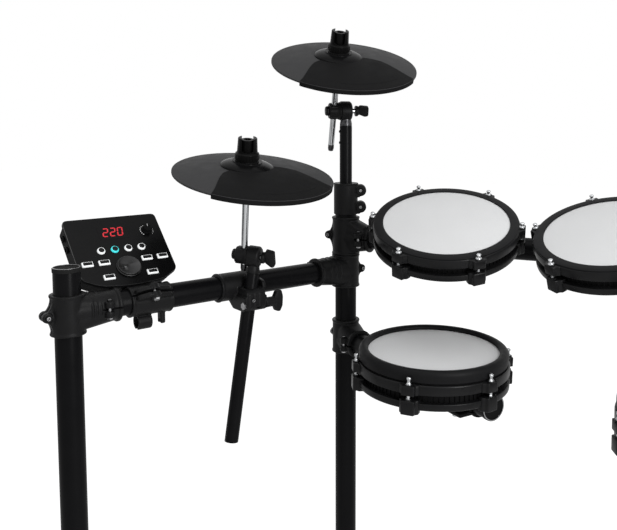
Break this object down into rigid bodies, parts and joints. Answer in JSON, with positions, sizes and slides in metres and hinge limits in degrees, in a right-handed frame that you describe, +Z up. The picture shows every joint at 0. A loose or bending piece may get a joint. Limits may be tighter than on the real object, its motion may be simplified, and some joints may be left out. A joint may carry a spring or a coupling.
{
  "type": "electronic drum kit",
  "caption": "Compact electronic drum kit: tube rack on posts, tilting mesh drum pads with tension lugs, cymbal pads on tilting rods, clamps and a sound module with buttons and dials.",
  "frame": {"origin": "on the floor at the axis of the left inner post", "axes": "+X to the player's right along the centre bar, +Y away from the player, +Z up"},
  "size_m": [1.326, 0.5592, 1.1885],
  "materials": {
    "powder_coat": "satin black powder coat",
    "casting": "satin black moulded clamps",
    "moulding": "fine-grained black",
    "hoop_rubber": "satin black rubber",
    "mesh_head": "silver-grey woven mesh",
    "cymbal_plate": "matt dark grey",
    "rod_chrome": "polished",
    "case_gloss": "glossy black",
    "lit_plastic": "lit translucent white"
  },
  "bodies": {
    "rack": {"left_inner_post": "powder_coat", "right_inner_post": "powder_coat", "left_bar_collar": "casting", "right_bar_collar": "casting", "left_tower_clamp": "casting", "right_tower_clamp": "casting", "centre_bar": "powder_coat", "tom_1_mount": "casting", "tom_2_mount": "casting"},
    "left_arm": {"left_arm_tube": "powder_coat", "left_inner_collar": "casting", "left_outer_collar": "casting", "hihat_clamp": "casting"},
    "right_arm": {"right_arm_tube": "powder_coat", "right_inner_collar": "casting", "right_outer_collar": "casting"},
    "left_leg": {"left_outer_post": "powder_coat"},
    "right_leg": {"right_outer_post": "powder_coat"},
    "snare_arm": {"snare_arm_tube": "powder_coat", "snare_arm_collar": "casting"},
    "floor_arm": {"floor_arm_tube": "powder_coat", "floor_arm_collar": "casting"},
    "tom_1_pad": {"tom_1_head": "mesh_head", "tom_1_hoop": "hoop_rubber", "tom_1_shell": "moulding"},
    "tom_2_pad": {"tom_2_head": "mesh_head", "tom_2_hoop": "hoop_rubber", "tom_2_shell": "moulding"},
    "snare_pad": {"snare_head": "mesh_head", "snare_hoop": "hoop_rubber", "snare_shell": "moulding"},
    "floor_pad": {"floor_head": "mesh_head", "floor_hoop": "hoop_rubber", "floor_shell": "moulding"},
    "hihat_stem": {"hihat_tube": "powder_coat"},
    "hihat_joint": {"hihat_tilter": "casting"},
    "hihat_spindle": {"hihat_rod": "rod_chrome"},
    "hihat_disc": {"hihat_cymbal": "cymbal_plate"},
    "crash_stem": {"crash_tube": "powder_coat"},
    "crash_joint": {"crash_tilter": "casting"},
    "crash_spindle": {"crash_rod": "rod_chrome"},
    "crash_disc": {"crash_cymbal": "cymbal_plate"},
    "ride_stem": {"ride_tube": "powder_coat"},
    "ride_joint": {"ride_tilter": "casting"},
    "ride_spindle": {"ride_rod": "rod_chrome"},
    "ride_disc": {"ride_cymbal": "cymbal_plate"},
    "module": {"module_case": "case_gloss", "module_bracket": "casting"},
    "dial": {"module_dial": "case_gloss"},
    "volume": {"module_volume": "case_gloss"},
    "round_button_1": {"module_round_button_1": "lit_plastic"},
    "round_button_2": {"module_round_button_2": "lit_plastic"},
    "round_button_3": {"module_round_button_3": "lit_plastic"},
    "round_button_4": {"module_round_button_4": "lit_plastic"},
    "key_1": {"module_key_1": "lit_plastic"},
    "key_2": {"module_key_2": "lit_plastic"},
    "key_3": {"module_key_3": "lit_plastic"},
    "key_4": {"module_key_4": "lit_plastic"},
    "key_5": {"module_key_5": "lit_plastic"},
    "key_6": {"module_key_6": "lit_plastic"}
  },
  "joints": [
    {"name": "left_arm_swing", "type": "hinge", "parent": "rack", "child": "left_arm", "pos_m": [0, 0, 0.76], "axis": [0, 0, 1], "range_deg": [-25, 8]},
    {"name": "right_arm_swing", "type": "hinge", "parent": "rack", "child": "right_arm", "pos_m": [0.72, 0, 0.76], "axis": [0, 0, 1], "range_deg": [-8, 25]},
    {"name": "left_leg_height", "type": "slide", "parent": "left_arm", "child": "left_leg", "axis": [0, 0, 1], "range_m": [-0.02, 0.15]},
    {"name": "right_leg_height", "type": "slide", "parent": "right_arm", "child": "right_leg", "axis": [0, 0, 1], "range_m": [-0.02, 0.15]},
    {"name": "snare_arm_swing", "type": "hinge", "parent": "rack", "child": "snare_arm", "pos_m": [0, 0, 0.6295], "axis": [0, 0, 1], "range_deg": [-30, 20]},
    {"name": "floor_arm_swing", "type": "hinge", "parent": "rack", "child": "floor_arm", "pos_m": [0.72, 0, 0.6295], "axis": [0, 0, 1], "range_deg": [-20, 25]},
    {"name": "snare_tilt", "type": "hinge", "parent": "snare_arm", "child": "snare_pad", "pos_m": [0, 0, 0.6295], "axis": [0.8131, -0.5821, 0], "range_deg": [-12, 12]},
    {"name": "floor_tilt", "type": "hinge", "parent": "floor_arm", "child": "floor_pad", "pos_m": [0.72, 0, 0.6295], "axis": [-0.1736, -0.9848, 0], "range_deg": [-12, 12]},
    {"name": "tom_1_tilt", "type": "hinge", "parent": "rack", "child": "tom_1_pad", "pos_m": [0.23071, -0.13857, 0.818], "axis": [0.9583, 0.2857, 0], "range_deg": [-20, 12]},
    {"name": "tom_2_tilt", "type": "hinge", "parent": "rack", "child": "tom_2_pad", "pos_m": [0.48929, -0.13857, 0.818], "axis": [0.9583, -0.2857, 0], "range_deg": [-20, 12]},
    {"name": "crash_height", "type": "slide", "parent": "rack", "child": "crash_stem", "axis": [0, 0, 1], "range_m": [-0.02, 0.06]},
    {"name": "crash_tilt", "type": "hinge", "parent": "crash_stem", "child": "crash_joint", "pos_m": [0, 0, 1.046], "axis": [-0.8059, -0.592, 0], "range_deg": [-20, 20]},
    {"name": "crash_rod_height", "type": "slide", "parent": "crash_joint", "child": "crash_spindle", "axis": [0.2179, -0.2967, 0.9298], "range_m": [-0.03, 0.05]},
    {"name": "crash_sway", "type": "hinge", "parent": "crash_spindle", "child": "crash_disc", "pos_m": [0.00402, -0.04263, 1.13879], "axis": [0.7163, 0.6957, 0.0541], "range_deg": [-5, 5], "stiffness_Nm_per_rad": 6},
    {"name": "ride_height", "type": "slide", "parent": "rack", "child": "ride_stem", "axis": [0, 0, 1], "range_m": [-0.02, 0.06]},
    {"name": "ride_tilt", "type": "hinge", "parent": "ride_stem", "child": "ride_joint", "pos_m": [0.72, 0, 1.046], "axis": [0.8059, -0.592, 0], "range_deg": [-20, 20]},
    {"name": "ride_rod_height", "type": "slide", "parent": "ride_joint", "child": "ride_spindle", "axis": [-0.2179, -0.2967, 0.9298], "range_m": [-0.03, 0.05]},
    {"name": "ride_sway", "type": "hinge", "parent": "ride_spindle", "child": "ride_disc", "pos_m": [0.71598, -0.04263, 1.13879], "axis": [0.8197, -0.5727, 0.0094], "range_deg": [-5, 5], "stiffness_Nm_per_rad": 6},
    {"name": "hihat_height", "type": "slide", "parent": "left_arm", "child": "hihat_stem", "axis": [0.0768, 0.1363, 0.9877], "range_m": [0, 0.1]},
    {"name": "hihat_tilt", "type": "hinge", "parent": "hihat_stem", "child": "hihat_joint", "pos_m": [-0.07372, -0.2005, 0.81136], "axis": [-0.9686, -0.2249, 0.1063], "range_deg": [-15, 15]},
    {"name": "hihat_rod_height", "type": "slide", "parent": "hihat_joint", "child": "hihat_spindle", "axis": [0.1474, -0.1744, 0.9736], "range_m": [-0.003, 0.012]},
    {"name": "hihat_sway", "type": "hinge", "parent": "hihat_spindle", "child": "hihat_disc", "pos_m": [-0.06904, -0.23071, 0.95931], "axis": [0.615, 0.7884, -0.0113], "range_deg": [-4, 4], "stiffness_Nm_per_rad": 6},
    {"name": "module_tilt", "type": "hinge", "parent": "left_arm", "child": "module", "pos_m": [0, 0, 0.76], "axis": [-0.4909, -0.8712, 0], "range_deg": [-15, 15]},
    {"name": "dial_turn", "type": "hinge", "parent": "module", "child": "dial", "pos_m": [-0.21646, -0.33567, 0.8087], "axis": [0.5986, -0.3373, 0.7266], "continuous": true},
    {"name": "volume_turn", "type": "hinge", "parent": "module", "child": "volume", "pos_m": [-0.23371, -0.26741, 0.8546], "axis": [0.5986, -0.3373, 0.7266], "range_deg": [-140, 140]},
    {"name": "round_button_1_press", "type": "slide", "parent": "module", "child": "round_button_1", "axis": [-0.5986, 0.3373, -0.7266], "range_m": [0, 0.001], "stiffness_N_per_m": 400, "springref_m": -0.002},
    {"name": "round_button_2_press", "type": "slide", "parent": "module", "child": "round_button_2", "axis": [-0.5986, 0.3373, -0.7266], "range_m": [0, 0.001], "stiffness_N_per_m": 400, "springref_m": -0.002},
    {"name": "round_button_3_press", "type": "slide", "parent": "module", "child": "round_button_3", "axis": [-0.5986, 0.3373, -0.7266], "range_m": [0, 0.001], "stiffness_N_per_m": 400, "springref_m": -0.002},
    {"name": "round_button_4_press", "type": "slide", "parent": "module", "child": "round_button_4", "axis": [-0.5986, 0.3373, -0.7266], "range_m": [0, 0.001], "stiffness_N_per_m": 400, "springref_m": -0.002},
    {"name": "key_1_press", "type": "slide", "parent": "module", "child": "key_1", "axis": [-0.5986, 0.3373, -0.7266], "range_m": [0, 0.001], "stiffness_N_per_m": 400, "springref_m": -0.002},
    {"name": "key_2_press", "type": "slide", "parent": "module", "child": "key_2", "axis": [-0.5986, 0.3373, -0.7266], "range_m": [0, 0.001], "stiffness_N_per_m": 400, "springref_m": -0.002},
    {"name": "key_3_press", "type": "slide", "parent": "module", "child": "key_3", "axis": [-0.5986, 0.3373, -0.7266], "range_m": [0, 0.001], "stiffness_N_per_m": 400, "springref_m": -0.002},
    {"name": "key_4_press", "type": "slide", "parent": "module", "child": "key_4", "axis": [-0.5986, 0.3373, -0.7266], "range_m": [0, 0.001], "stiffness_N_per_m": 400, "springref_m": -0.002},
    {"name": "key_5_press", "type": "slide", "parent": "module", "child": "key_5", "axis": [-0.5986, 0.3373, -0.7266], "range_m": [0, 0.001], "stiffness_N_per_m": 400, "springref_m": -0.002},
    {"name": "key_6_press", "type": "slide", "parent": "module", "child": "key_6", "axis": [-0.5986, 0.3373, -0.7266], "range_m": [0, 0.001], "stiffness_N_per_m": 400, "springref_m": -0.002}
  ]
}
